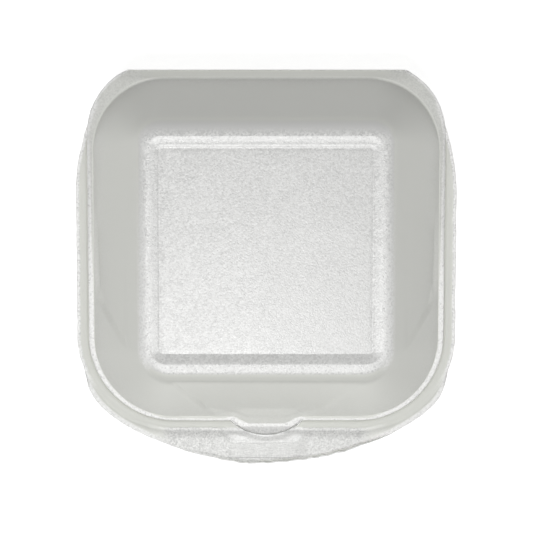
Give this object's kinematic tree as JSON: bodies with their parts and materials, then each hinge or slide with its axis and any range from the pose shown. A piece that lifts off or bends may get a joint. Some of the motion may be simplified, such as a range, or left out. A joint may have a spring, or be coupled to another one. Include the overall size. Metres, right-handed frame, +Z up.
{
  "type": "burger box",
  "caption": "Hinged white foam burger box: a sloped tray with a ledge and front lip, and a domed lid with a raised square frame, a back crease and a front latch tab.",
  "frame": {"origin": "middle of the bounding box at the height of the foot ring", "axes": "+Z up, +Y towards the hinge crease, so the latch is at -Y, +X to the right seen from the front"},
  "size_m": [0.15, 0.156, 0.076],
  "materials": {
    "foam": "fine-celled white foam with a satin skin"
  },
  "bodies": {
    "base": {"base": "foam"},
    "lid": {"lid": "foam"}
  },
  "joints": [
    {"name": "lid_hinge", "type": "hinge", "parent": "base", "child": "lid", "pos_m": [0, 0.078, 0.04], "axis": [-1, 0, 0], "range_deg": [0, 180]}
  ]
}
